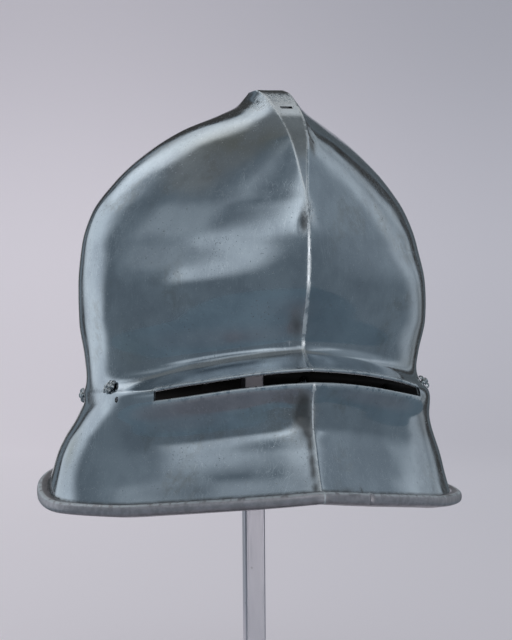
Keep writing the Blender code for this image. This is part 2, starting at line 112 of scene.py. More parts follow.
# The studio seen from the helmet, as soft-edged panels. Angles are in degrees; azimuth 0 is the camera and 90
# the right of the picture. A panel of negative strength is a black flag that takes light away.
PANELS = (
    ("azimuth", "half_width", "elevation", "half_height", "softness", "strength", "colour"),
    (-129, 17, 8, 31, 7, 0.72, "#EEF4FA"),
    (-146, 18, 40, 8, 5, 0.66, "#F0F2F4"),
    (6, 34, 33, 13, 9, 0.60, "#EEF1F4"),
    (-36, 23, 19, 9, 6, 0.56, "#E6EBF0"),
    (-45, 13, 44, 6, 5, 0.42, "#E6EBF0"),
    (-76, 22, 26, 7, 8, 0.08, "#DCE6EE"),
    (-73, 15, 33, 6, 5, 0.20, "#E2E6EA"),
    (104, 34, 24, 16, 12, 0.17, "#DCE4EC"),
    (133, 7, 5, 34, 5, 0.30, "#E8ECF0"),
    (-160, 28, 55, 13, 6, 0.50, "#F0F0F0"),
    (174, 14, 46, 10, 4, 0.60, "#F0F0F0"),
    (86, 5, 28, 14, 4, 0.30, "#E8ECF0"),
    (145, 3, 5, 34, 2, 0.30, "#E8ECF0"),
    (-173, 8, -12, 18, 3, 0.40, "#F0E6E4"),
    (34, 13, -5, 15, 8, 1.75, "#F4F2F4"),
    (-163, 3, 2, 31, 1, -0.60, "#FFFFFF"),
    (-171, 12, 22, 13, 3, -0.60, "#FFFFFF"),
    (-150, 2, 2, 31, 1, -0.50, "#FFFFFF"),
    (153, 4, 8, 42, 1, -0.60, "#FFFFFF"),
    (165, 6, 8, 42, 2, -0.12, "#D5EBFF"),
    (174, 3, 8, 42, 1, -0.50, "#FFFFFF"),
    (146, 8, -18, 20, 5, -0.14, "#D5EBFF"),
)
DARKEST = 0.055

# Dents of the plate: side, place round the helmet, then height, half width, half height and depth in metres.
DENTS = (
    ("side", "station", "height", "wide", "tall", "depth"),
    (-1, 0.024, 0.1806, 0.0085, 0.0085, 0.0024),
    (-1, 0.013, 0.2240, 0.0040, 0.0150, 0.0009),
    (1, 0.032, 0.3400, 0.0030, 0.0110, 0.0010),
    (-1, 0.007, 0.2860, 0.0022, 0.0035, 0.0007),
    (-1, 0.120, 0.2000, 0.0400, 0.0060, 0.0004),
    (-1, 0.300, 0.2600, 0.0200, 0.0250, 0.0004),
    (1, 0.120, 0.2900, 0.0180, 0.0160, 0.0004),
    (-1, 0.200, 0.1500, 0.0180, 0.0120, 0.0005),
    (1, 0.200, 0.1620, 0.0160, 0.0120, 0.0004),
    (-1, 0.620, 0.2700, 0.0260, 0.0220, 0.0005),
    (1, 0.660, 0.2500, 0.0240, 0.0260, 0.0005),
)

# Breaks in the turned rim, as above.
RIM_BREAKS = (
    ("side", "station", "height", "wide", "tall", "depth"),
    (1, 0.044, 0.1330, 0.0065, 0.0022, 0.0012),
    (1, 0.077, 0.1320, 0.0016, 0.0060, 0.0022),
    (-1, 0.440, 0.1300, 0.0018, 0.0040, 0.0010),
    (-1, 0.180, 0.1250, 0.0020, 0.0040, 0.0007),
)

# Patches of colour: which mask, then as above, with a strength for the depth. The dark patches are painted
# shade round the dents, beside the face's ridge on the wearer's right and in the rim's breaks.
PATCHES = (
    ("mask", "side", "station", "height", "wide", "tall", "strength"),
    ("stain", -1, 0.150, 0.3370, 0.034, 0.0085, 1.0),
    ("stain", -1, 0.450, 0.1560, 0.007, 0.0240, 0.8),
    ("stain", -1, 0.320, 0.2150, 0.016, 0.0160, 0.4),
    ("stain", 1, 0.300, 0.2000, 0.016, 0.0100, 0.5),
    ("shade_and_grime", -1, 0.012, 0.1810, 0.0048, 0.0105, 1.8),
    ("shade_and_grime", -1, 0.024, 0.1795, 0.0032, 0.0050, 1.3),
    ("shade_and_grime", -1, 0.006, 0.1700, 0.0024, 0.0060, 1.3),
    ("shade_and_grime", -1, 0.005, 0.1620, 0.0018, 0.0055, 1.1),
    ("shade_and_grime", -1, 0.005, 0.1540, 0.0018, 0.0055, 1.1),
    ("shade_and_grime", -1, 0.005, 0.1460, 0.0018, 0.0055, 1.1),
    ("shade_and_grime", -1, 0.005, 0.1390, 0.0018, 0.0050, 1.1),
    ("shade_and_grime", -1, 0.012, 0.2290, 0.0042, 0.0150, 0.8),
    ("shade_and_grime", -1, 0.006, 0.2910, 0.0020, 0.0060, 2.0),
    ("shade_and_grime", 1, 0.018, 0.3480, 0.0034, 0.0050, 1.4),
    ("shade_and_grime", 1, 0.018, 0.3410, 0.0032, 0.0050, 1.4),
    ("shade_and_grime", 1, 0.018, 0.3340, 0.0028, 0.0050, 1.2),
    ("shade_and_grime", 1, 0.044, 0.1330, 0.0060, 0.0016, 1.0),
    ("shade_and_grime", 1, 0.077, 0.1320, 0.0014, 0.0050, 1.0),
    ("bright", 1, 0.002, 0.2953, 0.0030, 0.0065, 1.6),
    ("bright", -1, 0.030, 0.3640, 0.010, 0.0060, 1.6),
    ("bright", -1, 0.090, 0.3600, 0.010, 0.0035, 1.0),
    ("bright", 1, 0.010, 0.3640, 0.008, 0.0050, 1.2),
)


def linear(hex_colour):
    """A hex sRGB colour as linear RGBA."""
    channels = [int(hex_colour[k:k + 2], 16) / 255 for k in (1, 3, 5)]
    return [c / 12.92 if c <= 0.04045 else ((c + 0.055) / 1.055) ** 2.4 for c in channels] + [1.0]


def length(name, description, default):
    """A length in metres for a property group."""
    return bpy.props.FloatProperty(name=name, description=description, default=default, min=0.0,
                                   precision=4, subtype="DISTANCE", unit="LENGTH")


def whole(name, description, default):
    """A whole number for a property group."""
    return bpy.props.IntProperty(name=name, description=description, default=default, min=1)


def share(name, description, default):
    """A plain factor for a property group."""
    return bpy.props.FloatProperty(name=name, description=description, default=default, subtype="FACTOR")


def colour(name, description, default):
    """A colour for a property group, its default given as hex."""
    return bpy.props.FloatVectorProperty(name=name, description=description, default=linear(default), size=4,
                                         min=0.0, max=1.0, subtype="COLOR")


class PlateSettings(bpy.types.PropertyGroup):
    """Sizes of the helmet's one plate."""
    waist: length("Waist height", "Height of the waist over the floor", 0.192)
    skull_height: length("Skull height", "From the waist to the apex", 0.179)
    skull_width: length("Skull width", "Widest part of the skull", 0.213)
    skull_front: length("Front reach", "From the post to the keel", 0.119)
    skull_back: length("Back reach", "From the post to the back of the skull", 0.123)
    apex_width: length("Apex width", "Width of the keel's flat facet at the apex", 0.0188)
    keel_flat: length("Keel flat", "Width of the worn keel below the facet", 0.0009)
    face_depth: length("Face depth", "From the waist to the rim's lowest part", 0.074)
    face_reach: length("Face reach", "From the post to the foot of the face's ridge", 0.138)
    flare_width: length("Flare width", "Width over the flared sides", 0.250)
    tail_reach: length("Tail reach", "From the post to the end of the tail", 0.182)
    plate: length("Plate", "Thickness of the steel", 0.002)
    rim_tall: length("Rim height", "Height of the turned rim", 0.0068)
    rim_out: length("Rim width", "How far the rim stands out", 0.0072)
    rim_round: length("Rim rounding", "Radius of the rim's two outer corners", 0.0024)
    sight_rise: length("Sight rise", "Height of the sight's lip over the waist at the keel", 0.0135)
    sight_gap: length("Sight height", "Gap between the sight's lips", 0.009)
    sight_end_gap: length("Sight end", "Least gap between the lips", 0.006)
    sight_end: share("Sight end station", "Where the sight ends, round from the keel", 0.275)
    lip_share: share("Lip reach", "How far the lip turns out to the face's top edge", 0.83)
    lip_depth: length("Lip depth", "Height over which the lip turns out", 0.017)
    lip_turn: share("Lip curve", "Power of the lip's curve", 2.4)
    slot_width: length("Crest slot width", "Width of the slot at the apex", 0.0074)
    slot_height: length("Crest slot height", "Height of the slot at the apex", 0.0032)
    slot_drop: length("Crest slot drop", "From the apex down to the slot", 0.0128)
    lace_hole: length("Lace hole", "Width of the lace holes", 0.0036)
    lace_drop: length("Lace hole drop", "From the lip line down to the lace holes", 0.0045)
    lace_ahead: share("Lace hole place", "How far ahead of the front rivets the holes lie", 0.018)
    relief: length("Hammer relief", "Height of the waves left by the hammer", 0.00009)
    steel: colour("Plate steel", "Ground colour of the plate", "#A6AEB5")
    columns: whole("Columns", "Stations in half the helmet", 200)
    skull_rows: whole("Skull rows", "Rows in the skull", 92)
    face_rows: whole("Face rows", "Rows in the face", 36)
    seed: whole("Seed", "Which set of hammer waves is used", 7)


class RivetSettings(bpy.types.PropertyGroup):
    """Sizes of the rosette rivets."""
    head: length("Head", "Width over the petals", 0.0100)
    rise: length("Head rise", "Height of the head", 0.0032)
    shank: length("Shank", "Width of the shank", 0.0032)
    clench: length("Clench", "Width of the clenched end inside", 0.0060)
    clench_rise: length("Clench rise", "Height of the clenched end", 0.0012)
    petal_depth: share("Petal depth", "How far the notches between petals cut in", 0.20)
    steel: colour("Rivet steel", "Ground colour of the rivets", "#8E9294")
    petals: whole("Petals", "Petals on each head", 6)


class StandSettings(bpy.types.PropertyGroup):
    """Sizes of the post and its saddle."""
    width: length("Post width", "Width of the flat bar", 0.0128)
    depth: length("Post depth", "Thickness of the flat bar", 0.0080)
    foot: length("Foot height", "Thickness of the foot under the post", 0.008)
    edge: length("Edge rounding", "Radius of the bar's long edges", 0.0011)
    saddle: length("Saddle radius", "Radius of the saddle in the crown", 0.026)
    saddle_depth: length("Saddle depth", "Thickness of the saddle", 0.012)
    steel: colour("Stand steel", "Ground colour of the post and foot", "#B4B0B6")
    clearance: length("Clearance", "Gap left between touching pieces", 0.0003)


class StudioSettings(bpy.types.PropertyGroup):
    """Camera and backdrop."""
    distance: length("Camera distance", "From the camera to the post", 1.4)
    eye: length("Eye height", "Height of the camera over the floor", 0.233)
    picture: length("Picture height", "Height of what the camera frames at the post", 0.3962)
    azimuth: bpy.props.FloatProperty(name="Azimuth", description="Camera's turn to the wearer's right",
                                     default=math.radians(-16), subtype="ANGLE")
    roll: bpy.props.FloatProperty(name="Roll", description="Camera's roll", default=math.radians(-0.45),
                                  subtype="ANGLE")
    shift: share("Shift", "Sideways shift of the picture, as a share of its height", 0.00625)
    floor: length("Floor", "Width of the floor", 1.2)
    floor_tone: colour("Floor tone", "Colour of the floor by the stand", "#C6C2C8")
    paper_tone: colour("Paper tone", "Colour of the paper at the left of the picture", "#CAC4CA")
    paper_width: length("Paper width", "Width of the upright end of the lit paper sweep", 1.2)
    floor_drop: length("Floor drop", "How far the floor lies under the foot", 0.002)
    paper_drop: length("Paper drop", "How far the paper lies under the foot", 0.0002)
    paper_front: length("Paper front", "From the post to the paper's front edge", 0.35)
    paper_top: length("Paper top", "Height of the paper's upper edge", 1.1)
    paper_back: length("Paper back", "From the post to the paper's upright part", 3.2)
    paper_bend: length("Paper bend", "Radius of the paper's bend", 0.6)


def column(table, name):
    """One named column of a table, as an array."""
    place = table[0].index(name)
    return np.array([row[place] for row in table[1:]], dtype=float)


def along(table, name, place):
    """A column read along the first one by a cubic that never overshoots its rows; place has any shape."""
    keys = column(table, table[0][0])
    order = np.argsort(keys)
    keys = keys[order]
    values = column(table, name)[order]
    slope = np.diff(values) / np.diff(keys)
    both = slope[:-1] + slope[1:]
    same_way = slope[:-1] * slope[1:] > 0
    inner = np.where(same_way, 2 * slope[:-1] * slope[1:] / np.where(same_way, both, 1), 0)
    tangent = np.concatenate([slope[:1], inner, slope[-1:]])
    place = np.clip(place, keys[0], keys[-1])
    row = np.clip(np.searchsorted(keys, place) - 1, 0, len(keys) - 2)
    width = keys[row + 1] - keys[row]
    t = (place - keys[row]) / width
    start = (1 + 2 * t) * (1 - t) ** 2 * values[row] + t * (1 - t) ** 2 * width * tangent[row]
    end = t * t * (3 - 2 * t) * values[row + 1] + t * t * (t - 1) * width * tangent[row + 1]
    return start + end


def section_curve(way, half_width, front, flat, back, beam, turns):
    """A half section read at way, where 0 is its front, 1 its widest point and 2 its back.

    Each quarter is (across/half width)^turn + (along/reach)^fullness = 1, and its parameter is an angle.
    """
    keel_turn, front_full, tail_turn, back_full = turns
    ahead = np.clip(way, 0, 1) * math.pi / 2
    behind = np.clip(2 - way, 0, 1) * math.pi / 2
    front_x = flat + (half_width - flat) * np.sin(ahead) ** (2 / keel_turn)
    front_y = beam + (front - beam) * np.cos(ahead) ** (2 / front_full)
    back_x = half_width * np.sin(behind) ** (2 / tail_turn)
    back_y = beam - (beam + back) * np.cos(behind) ** (2 / back_full)
    return np.where(way <= 1, front_x, back_x), -np.where(way <= 1, front_y, back_y)


def half_sections(half_width, front, flat, back, beam, turns, stations):
    """Half sections at equal shares of arc length; every argument is an array of rows by stations.

    The curve's running length is summed over fine steps and read backwards to find each station's parameter.
    """
    way = np.linspace(0, 2, 321)[:, None, None]
    x, y = section_curve(way, half_width, front, flat, back, beam, turns)
    run = np.zeros(x.shape)
    run[1:] = np.cumsum(np.hypot(np.diff(x, axis=0), np.diff(y, axis=0)), axis=0)
    run /= run[-1]
    after = np.clip((run < stations).sum(axis=0), 1, len(way) - 1)[None]
    low = np.take_along_axis(run, after - 1, axis=0)[0]
    high = np.take_along_axis(run, after, axis=0)[0]
    step = way[1, 0, 0]
    found = step * (after[0] - 1 + np.clip((stations - low) / (high - low), 0, 1))
    return section_curve(found, half_width, front, flat, back, beam, turns)


def lip_height(s, stations):
    """Height of the sight's upper lip and of the waist behind it."""
    return s.waist + s.sight_rise * along(EDGES, "lip", stations)


def face_top_height(s, stations):
    """Height of the face's top edge."""
    gap = s.sight_gap * along(EDGES, "gap", stations)
    return lip_height(s, stations) - np.maximum(gap, s.sight_end_gap)


def rim_height(s, stations):
    """Height of the rim's underside."""
    return s.waist - s.face_depth * along(EDGES, "rim", stations)


def face_surface(s, depth, stations):
    """Half the face and flare at shares of its depth, as rows by stations by xyz."""
    side, ridge, tail, *turns = (along(FACE_SECTIONS, name, depth) for name in FACE_SECTIONS[0][1:])
    x, y = half_sections(s.flare_width / 2 * side, s.face_reach * ridge, s.keel_flat / 2 + 0 * depth,
                         s.tail_reach * tail, 0 * depth, turns, stations)
    top = face_top_height(s, stations)
    z = top + (rim_height(s, stations) + s.rim_tall - top) * depth
    return np.stack([x, y, z], axis=-1)


def skull_surface(s, height, stations):
    """Half the skull at the given heights, its lip turned out towards the face's top edge."""
    level = (height - s.waist) / s.skull_height
    width, front, facet, back, beam, *turns = (along(SKULL_SECTIONS, name, level)
                                               for name in SKULL_SECTIONS[0][1:])
    x, y = half_sections(s.skull_width / 2 * width, s.skull_front * front,
                         np.maximum(s.apex_width / 2 * facet, s.keel_flat / 2), s.skull_back * back,
                         s.skull_front * beam, turns, stations)
    edge = face_surface(s, np.zeros((1, stations.shape[1])), stations[:1])
    rise = (height - lip_height(s, stations)) / s.lip_depth
    turned = s.lip_share * np.clip(1 - rise, 0, 1) ** s.lip_turn
    x = x + turned * (edge[..., 0] - x)
    y = y + turned * (edge[..., 1] - y)
    return np.stack([x, y, height], axis=-1)


def whole_rows(half, across):
    """Closed rows from half rows: the left from keel to tail, the right back, then the facet between them."""
    right = (half * (-1, 1, 1))[:, -2::-1]
    share_across = (np.arange(1, across + 1) / (across + 1))[None, :, None]
    facet = right[:, -1:] + (half[:, :1] - right[:, -1:]) * share_across
    return np.concatenate([half, right, facet], axis=1)


def unit(vectors):
    """Vectors brought to length one."""
    return vectors / np.maximum(np.linalg.norm(vectors, axis=-1, keepdims=True), 1e-12)


def row_normals(rows):
    """Directions out of a block of closed rows."""
    round_way = np.roll(rows, -1, axis=1) - np.roll(rows, 1, axis=1)
    return unit(np.cross(np.gradient(rows, axis=0), round_way))


def joining_rows(upper, lower, count):
    """Rows between two blocks, on cubics that leave each block the way its last rows run."""
    span = np.linalg.norm(lower[0] - upper[-1], axis=-1, keepdims=True)
    leave = unit(upper[-1] - upper[-2]) * span
    arrive = unit(lower[1] - lower[0]) * span
    t = (np.arange(1, count + 1) / (count + 1))[:, None, None]
    return ((1 + 2 * t) * (1 - t) ** 2 * upper[-1] + t * (1 - t) ** 2 * leave
            + t * t * (3 - 2 * t) * lower[0] + t * t * (t - 1) * arrive)


def hammer_waves(points, seed):
    """Seeded sine waves through space, each as high as its wavelength is long, summed to about height one."""
    rng = np.random.default_rng(seed)
    total = np.zeros(points.shape[:-1])
    for wavelength in rng.uniform(*WAVELENGTHS, WAVES):
        heading = unit(rng.normal(size=3))
        phase = rng.uniform(0, 2 * math.pi)
        total += wavelength * np.sin(points @ heading * (2 * math.pi / wavelength) + phase)
    return total / (np.mean(WAVELENGTHS) * math.sqrt(WAVES / 2))


def plate_columns(s):
    """Shares of the way round, closer together at the keel, with one exactly at the sight's end."""
    even = np.linspace(0, 1, s.columns + 1)
    stations = 0.55 * even + 0.45 * even ** 1.9
    stations[np.argmin(np.abs(stations - s.sight_end))] = s.sight_end
    return stations


# Columns across the keel's flat facet, rows between skull and face, rows round a lip's edge, and how many
# rows of the outer sheet go to one of the inner sheet.
FACET_COLUMNS = 10
JOIN_ROWS = 5
LIP_ROUND_ROWS = 5
INNER_STEP = 3

# The hammer's waves: shortest and longest, and how many. A lip's edge bulges by this share of the plate.
WAVELENGTHS = (0.022, 0.070)
WAVES = 40
LIP_BULGE = 0.4

# How many columns beside the keel its bright line reaches, and that line's width there and on the face's
# ridge.
# The line is partly wear and partly a painted highlight.
KEEL_COLUMNS = 24
KEEL_GLOW = 0.0011
RIDGE_GLOW = 0.0016


def outer_surface(s):
    """The plate's outer face: closed rows from the apex to the rim's top, and their normals."""
    stations = plate_columns(s)[None]
    even = np.linspace(0, 1, s.skull_rows)[:, None]
    crowded = even - 0.09 * np.sin(2 * math.pi * even)
    apex = s.waist + s.skull_height
    lip = lip_height(s, stations)
    height = apex + (lip - apex) * crowded
    full = np.broadcast_to(stations, height.shape)
    skull = whole_rows(skull_surface(s, height, full), FACET_COLUMNS)
    depth = np.linspace(0, 1, s.face_rows)[:, None] + np.zeros_like(stations)
    face = whole_rows(face_surface(s, depth, np.broadcast_to(stations, depth.shape)), FACET_COLUMNS)
    join = joining_rows(skull, face, JOIN_ROWS)
    rows = np.concatenate([skull, join, face])
    joined = row_normals(rows)
    apart = np.concatenate([row_normals(skull), joined[len(skull):len(skull) + JOIN_ROWS], row_normals(face)])
    normals = np.where(sight_columns(s)[None, :, None], apart, joined)
    normals[0] = (0, 0, 1)
    return rows, normals


def table_spots(s, points, rows, table, last):
    """A sum of a table's soft spots at points, each falling off as exp(-(across/wide)^2 - (up/tall)^2).

    Their places are found on rows, and last names the column with their strengths.
    """
    total = np.zeros(points.shape[:-1])
    for row in table[1:]:
        at = dict(zip(table[0], row))
        away = points - rows[nearest(s, rows, at["side"], at["station"], at["height"])]
        level = (away[..., :2] ** 2).sum(axis=-1) / at["wide"] ** 2
        total += at[last] * np.exp(-level - (away[..., 2] / at["tall"]) ** 2)
    return total


def sight_columns(s):
    """Which columns of a closed row lie in the sight, its two end columns among them."""
    end = int(np.argmin(np.abs(plate_columns(s) - s.sight_end)))
    inside = np.zeros(2 * s.columns + 1 + FACET_COLUMNS, dtype=bool)
    inside[: end + 1] = True
    inside[2 * s.columns - end:] = True
    return inside


def nearest(s, rows, side, station, height):
    """Row and column of the point nearest to a place round the helmet and a height."""
    col = int(np.argmin(np.abs(plate_columns(s) - station)))
    if side < 0:
        col = 2 * s.columns - col
    return int(np.argmin(np.abs(rows[:, col, 2] - height))), col


def rim_rows(s, wall, foot):
    """The turned rim: out along the top, round the outer corner, down, round the lower one and back under."""
    ahead = np.roll(wall, -1, axis=0) - np.roll(wall, 1, axis=0)
    out = unit(np.column_stack([ahead[:, 1], -ahead[:, 0], np.zeros(len(wall))]))
    turn = np.linspace(0, math.pi / 2, 5)
    corner = s.rim_out - s.rim_round
    swell = 0.0001
    reach = np.concatenate([[corner * 0.35, corner * 0.8], corner + s.rim_round * np.sin(turn),
                            [s.rim_out + swell], corner + s.rim_round * np.cos(turn)])
    drop = np.concatenate([[-swell, 0.0], s.rim_round * (1 - np.cos(turn)), [s.rim_tall / 2],
                           s.rim_tall - s.rim_round * (1 - np.sin(turn))])
    rows = wall + out * reach[:, None, None] - np.array((0, 0, 1.0)) * drop[:, None, None]
    under = foot - np.array((0, 0, s.rim_tall))
    return np.concatenate([rows, under[None]])


def plate_mesh(s):
    """The plate as points and faces, with the masks that its material reads.

    The outer sheet is displaced by low hammer waves and dents, and the inner one follows it a thickness in.
    """
    smooth, normals = outer_surface(s)
    loop = smooth.shape[1]
    dents = table_spots(s, smooth, smooth, DENTS, "depth")
    outer = smooth + normals * (s.relief * hammer_waves(smooth, s.seed) - dents)[..., None]

    lip = s.skull_rows - 1
    top = s.skull_rows + JOIN_ROWS
    foot = len(outer) - 1
    picked = np.unique(np.concatenate([np.arange(0, lip, INNER_STEP), [lip, lip + 1 + JOIN_ROWS // 2],
                                       np.arange(top, foot, INNER_STEP), [foot]]))
    inner = outer[picked] - normals[picked] * s.plate
    inner[0, :, 2] = s.waist + s.skull_height - s.plate
    rim = rim_rows(s, outer[-1], inner[-1])
    # A break pushes the rim in and up.
    broken = table_spots(s, rim, rim, RIM_BREAKS, "depth")[..., None]
    rim = rim - unit(rim * (1, 1, 0)) * broken * 0.8 + np.array((0, 0, 0.6)) * broken
    rows = np.concatenate([outer, rim, inner[::-1]])
    count = len(rows)
    number = np.arange(count * loop).reshape(count, loop)

    open_quad = sight_columns(s) & np.roll(sight_columns(s), -1)
    inner_lip = count - int((picked <= lip).sum())
    inner_top = inner_lip - 2
    gap_rows = np.zeros(count - 1, dtype=bool)
    gap_rows[lip:top] = True
    gap_rows[inner_top:inner_lip] = True
    aside = np.roll(number, -1, axis=1)
    quads = np.stack([number[:-1], number[1:], aside[1:], aside[:-1]], axis=-1)
    faces = quads[~(gap_rows[:, None] & open_quad)].tolist()
    edge_points, edge_faces = sight_edges(s, rows, number, (lip, top, inner_top, inner_lip))
    faces += edge_faces

    # The crown and the rim's root are closed across, pair by pair.
    half = s.columns
    last = (count - 1) * loop
    caps = [[0, 1, 2 * half - 1, *range(2 * half, loop)]]
    caps += [dict.fromkeys((k, k + 1, 2 * half - k - 1, 2 * half - k)) for k in range(1, half)]
    for ring in caps:
        faces += [list(ring), [last + v for v in reversed(ring)]]

    points = np.concatenate([rows.reshape(-1, 3), edge_points])
    masks = plate_masks(s, rows, len(edge_points), len(outer), len(rim))
    for name in ("stain", "shade_and_grime", "bright"):
        chosen = [row for row in PATCHES if row[0] in ("mask", name)]
        masks[name] = np.clip(table_spots(s, points, smooth, chosen, "strength"), 0, 1)
    return points, faces, masks


def sight_edges(s, rows, number, sheets):
    """The rounded edges of the sight's lips and the faces at its two ends.

    An edge is half an ellipse from the outer sheet to the inner one, carried along the lip. number holds the
    point numbers of rows.
    """
    lip, top, inner_top, inner_lip = sheets
    inside = sight_columns(s)
    first = int(np.flatnonzero(inside & ~np.roll(inside, 1))[0])
    ordered = (first + np.arange(inside.sum())) % len(inside)
    turn = np.linspace(0, math.pi, LIP_ROUND_ROWS + 2)[1:-1, None, None]
    new = number.size + np.arange(LIP_ROUND_ROWS * len(ordered)).reshape(LIP_ROUND_ROWS, -1)
    points, faces, stacks = [], [], []
    for sheet, back, beyond, way in ((lip, inner_lip, lip - 1, 1), (top, inner_top, top + 1, -1)):
        a, b = rows[sheet, ordered], rows[back, ordered]
        away = unit(a - rows[beyond, ordered])
        points.append((a + b) / 2 + (a - b) / 2 * np.cos(turn) + away * (LIP_BULGE * s.plate) * np.sin(turn))
        stack = np.concatenate([number[sheet, ordered][None], new + new.size * len(stacks),
                                number[back, ordered][None]])
        quads = np.stack([stack[:-1, :-1], stack[1:, :-1], stack[1:, 1:], stack[:-1, 1:]], axis=-1)
        faces += quads.reshape(-1, 4)[:, ::way].tolist()
        stacks.append(stack)
    for at, way in ((0, -1), (-1, 1)):
        col = ordered[at]
        ring = np.concatenate([stacks[0][:, at], number[inner_top + 1:inner_lip, col][::-1],
                               stacks[1][::-1, at], number[lip + 1:top, col][::-1]])
        faces.append(ring[::way].tolist())
    return np.concatenate(points).reshape(-1, 3), faces


def plate_masks(s, rows, lip_points, outer_count, rim_count):
    """Masks on every point: edges worn and painted bright as highlights, the rim, the seam at its root
    darkened with painted shade and some grime, the inner face, and the distance from the keel's lines, which
    counts as less on the wearer's left, where the line is wider.
    """
    count, loop = rows.shape[:2]
    across = rows[:, :, 0]
    level = (rows[:, :, 2] - s.waist) / s.skull_height
    flat = s.apex_width / 2 * along(SKULL_SECTIONS, "facet", level)
    on_skull = level > 0
    from_line = np.where(on_skull, np.abs(np.abs(across) - np.maximum(flat, s.keel_flat / 2)), np.abs(across))
    column_no = np.arange(loop)
    round_no = np.minimum(column_no, np.abs(2 * s.columns - column_no))
    near_keel = (round_no < KEEL_COLUMNS) | (column_no > 2 * s.columns)
    # Along the keel and the face's ridge: a bright line, partly wear and partly a painted highlight.
    wear_and_highlight = 0.35 * near_keel * np.exp(-(from_line / np.where(on_skull, KEEL_GLOW, RIDGE_GLOW)) ** 2)
    from_line = np.where(on_skull & (across > 0), 0.45 * from_line, from_line)
    row_no = np.arange(count)[:, None]
    # The sight's lip edges are painted bright: partly wear, partly a painted highlight where they catch the
    # light.
    lip_edge = (np.exp(-((row_no - (s.skull_rows - 1)) / 1.3) ** 2)
                + np.exp(-(row_no - (s.skull_rows + JOIN_ROWS)) ** 2.0))
    wear_and_highlight = np.maximum(wear_and_highlight, lip_edge * sight_columns(s))
    wear_and_highlight[outer_count + rim_count:] = 0
    # The rim's upper outer corner: a painted highlight line, with some wear.
    wear_and_highlight[outer_count + 2:outer_count + 5] = 0.8
    rim, inner, rim_root_shade_and_grime = np.zeros((3, count, loop))
    rim[outer_count:outer_count + rim_count] = 1
    inner[outer_count + rim_count:] = 1
    # Painted shade, with some grime, darkens the crevice at the rim's root.
    rim_root_shade_and_grime[outer_count - 1:outer_count + 2] = np.array((0.9, 0.9, 0.5))[:, None]
    masks = {"wear_and_highlight": (wear_and_highlight, 0.7), "rim": (rim, 0), "inner": (inner, 0), "rim_root_shade_and_grime": (rim_root_shade_and_grime, 0),
             "keel_gap": (np.where(near_keel, from_line, 1.0), 1)}
    return {name: np.append(mask.ravel(), np.full(lip_points, float(on_lips)))
            for name, (mask, on_lips) in masks.items()}


def new_piece(name, points, faces, finish, masks=None, crease=40):
    """A mesh object in the scene, made of the used points, shaded smooth except over sharp creases."""
    used = np.zeros(len(points), dtype=bool)
    used[np.concatenate([np.array(f) for f in faces])] = True
    renumber = np.cumsum(used) - 1
    faces = [tuple(renumber[list(f)].tolist()) for f in faces]
    mesh = bpy.data.meshes.new(name)
    mesh.from_pydata(points[used].tolist(), [], faces)
    for title, values in (masks or {}).items():
        layer = mesh.attributes.new(title, "FLOAT", "POINT")
        layer.data.foreach_set("value", values[used].astype(np.float32))
    mesh.materials.append(finish)
    mesh.shade_smooth()
    mesh.set_sharp_from_angle(angle=math.radians(crease))
    piece = bpy.data.objects.new(name, mesh)
    bpy.context.scene.collection.objects.link(piece)
    return piece


def out_frame(point, out):
    """A frame whose Z points out of the plate and whose X is level."""
    z = Vector(out)
    x = Vector((0, 0, 1)).cross(z).normalized()
    return Matrix.Translation(Vector(point)) @ Matrix((x, z.cross(x), z)).transposed().to_4x4()


def stacked(x, y, z):
    """A closed solid from rows by sides of points about Z, its two ends closed with a point each."""
    rows, sides = z.shape
    ends = [[0, 0, z[0].mean()], [0, 0, z[-1].min()]]
    points = np.concatenate([np.stack([x, y, z], axis=-1).reshape(-1, 3), ends])
    number = np.arange(rows * sides).reshape(rows, sides)
    after = np.roll(number, -1, axis=1)
    quads = np.stack([number[:-1], after[:-1], after[1:], number[1:]], axis=-1).reshape(-1, 4)
    low = np.column_stack([after[0], number[0], np.full(sides, rows * sides)])
    high = np.column_stack([number[-1], after[-1], np.full(sides, rows * sides + 1)])
    return points, quads.tolist() + low.tolist() + high.tolist()


def revolved(reach, height):
    """A closed solid about Z from rows by sides of reach and height."""
    angle = np.linspace(0, 2 * math.pi, reach.shape[1], endpoint=False)
    return stacked(reach * np.cos(angle), reach * np.sin(angle), height)


def cut_holes(piece, holes):
    """Cuts scratch solids out of a piece with one exact Boolean each, then removes them."""
    tools = []
    for name, points, faces, place in holes:
        mesh = bpy.data.meshes.new(name)
        mesh.from_pydata([tuple(p) for p in points], [], [tuple(f) for f in faces])
        tool = bpy.data.objects.new(name, mesh)
        tool.matrix_world = place
        bpy.context.scene.collection.objects.link(tool)
        cut = piece.modifiers.new(name, "BOOLEAN")
        cut.operation = "DIFFERENCE"
        cut.solver = "EXACT"
        cut.object = tool
        tools.append(tool)
    graph = bpy.context.evaluated_depsgraph_get()
    made = bpy.data.meshes.new_from_object(piece.evaluated_get(graph), preserve_all_data_layers=True,
                                           depsgraph=graph)
    piece.modifiers.clear()
    if len(made.polygons) <= len(piece.data.polygons):
        raise RuntimeError("the holes of " + piece.name + " weren't cut")
    old = piece.data
    piece.data = made
    bpy.data.meshes.remove(old)
    for tool in tools:
        mesh = tool.data
        bpy.data.objects.remove(tool, do_unlink=True)
        bpy.data.meshes.remove(mesh)


def box_solid(half_x, half_y, half_z):
    """A box about its own middle."""
    points = [(x, y, z) for z in (-half_z, half_z) for x, y in
              ((-half_x, -half_y), (half_x, -half_y), (half_x, half_y), (-half_x, half_y))]
    return points, [(3, 2, 1, 0), (4, 5, 6, 7), (0, 1, 5, 4), (1, 2, 6, 5), (2, 3, 7, 6), (3, 0, 4, 7)]


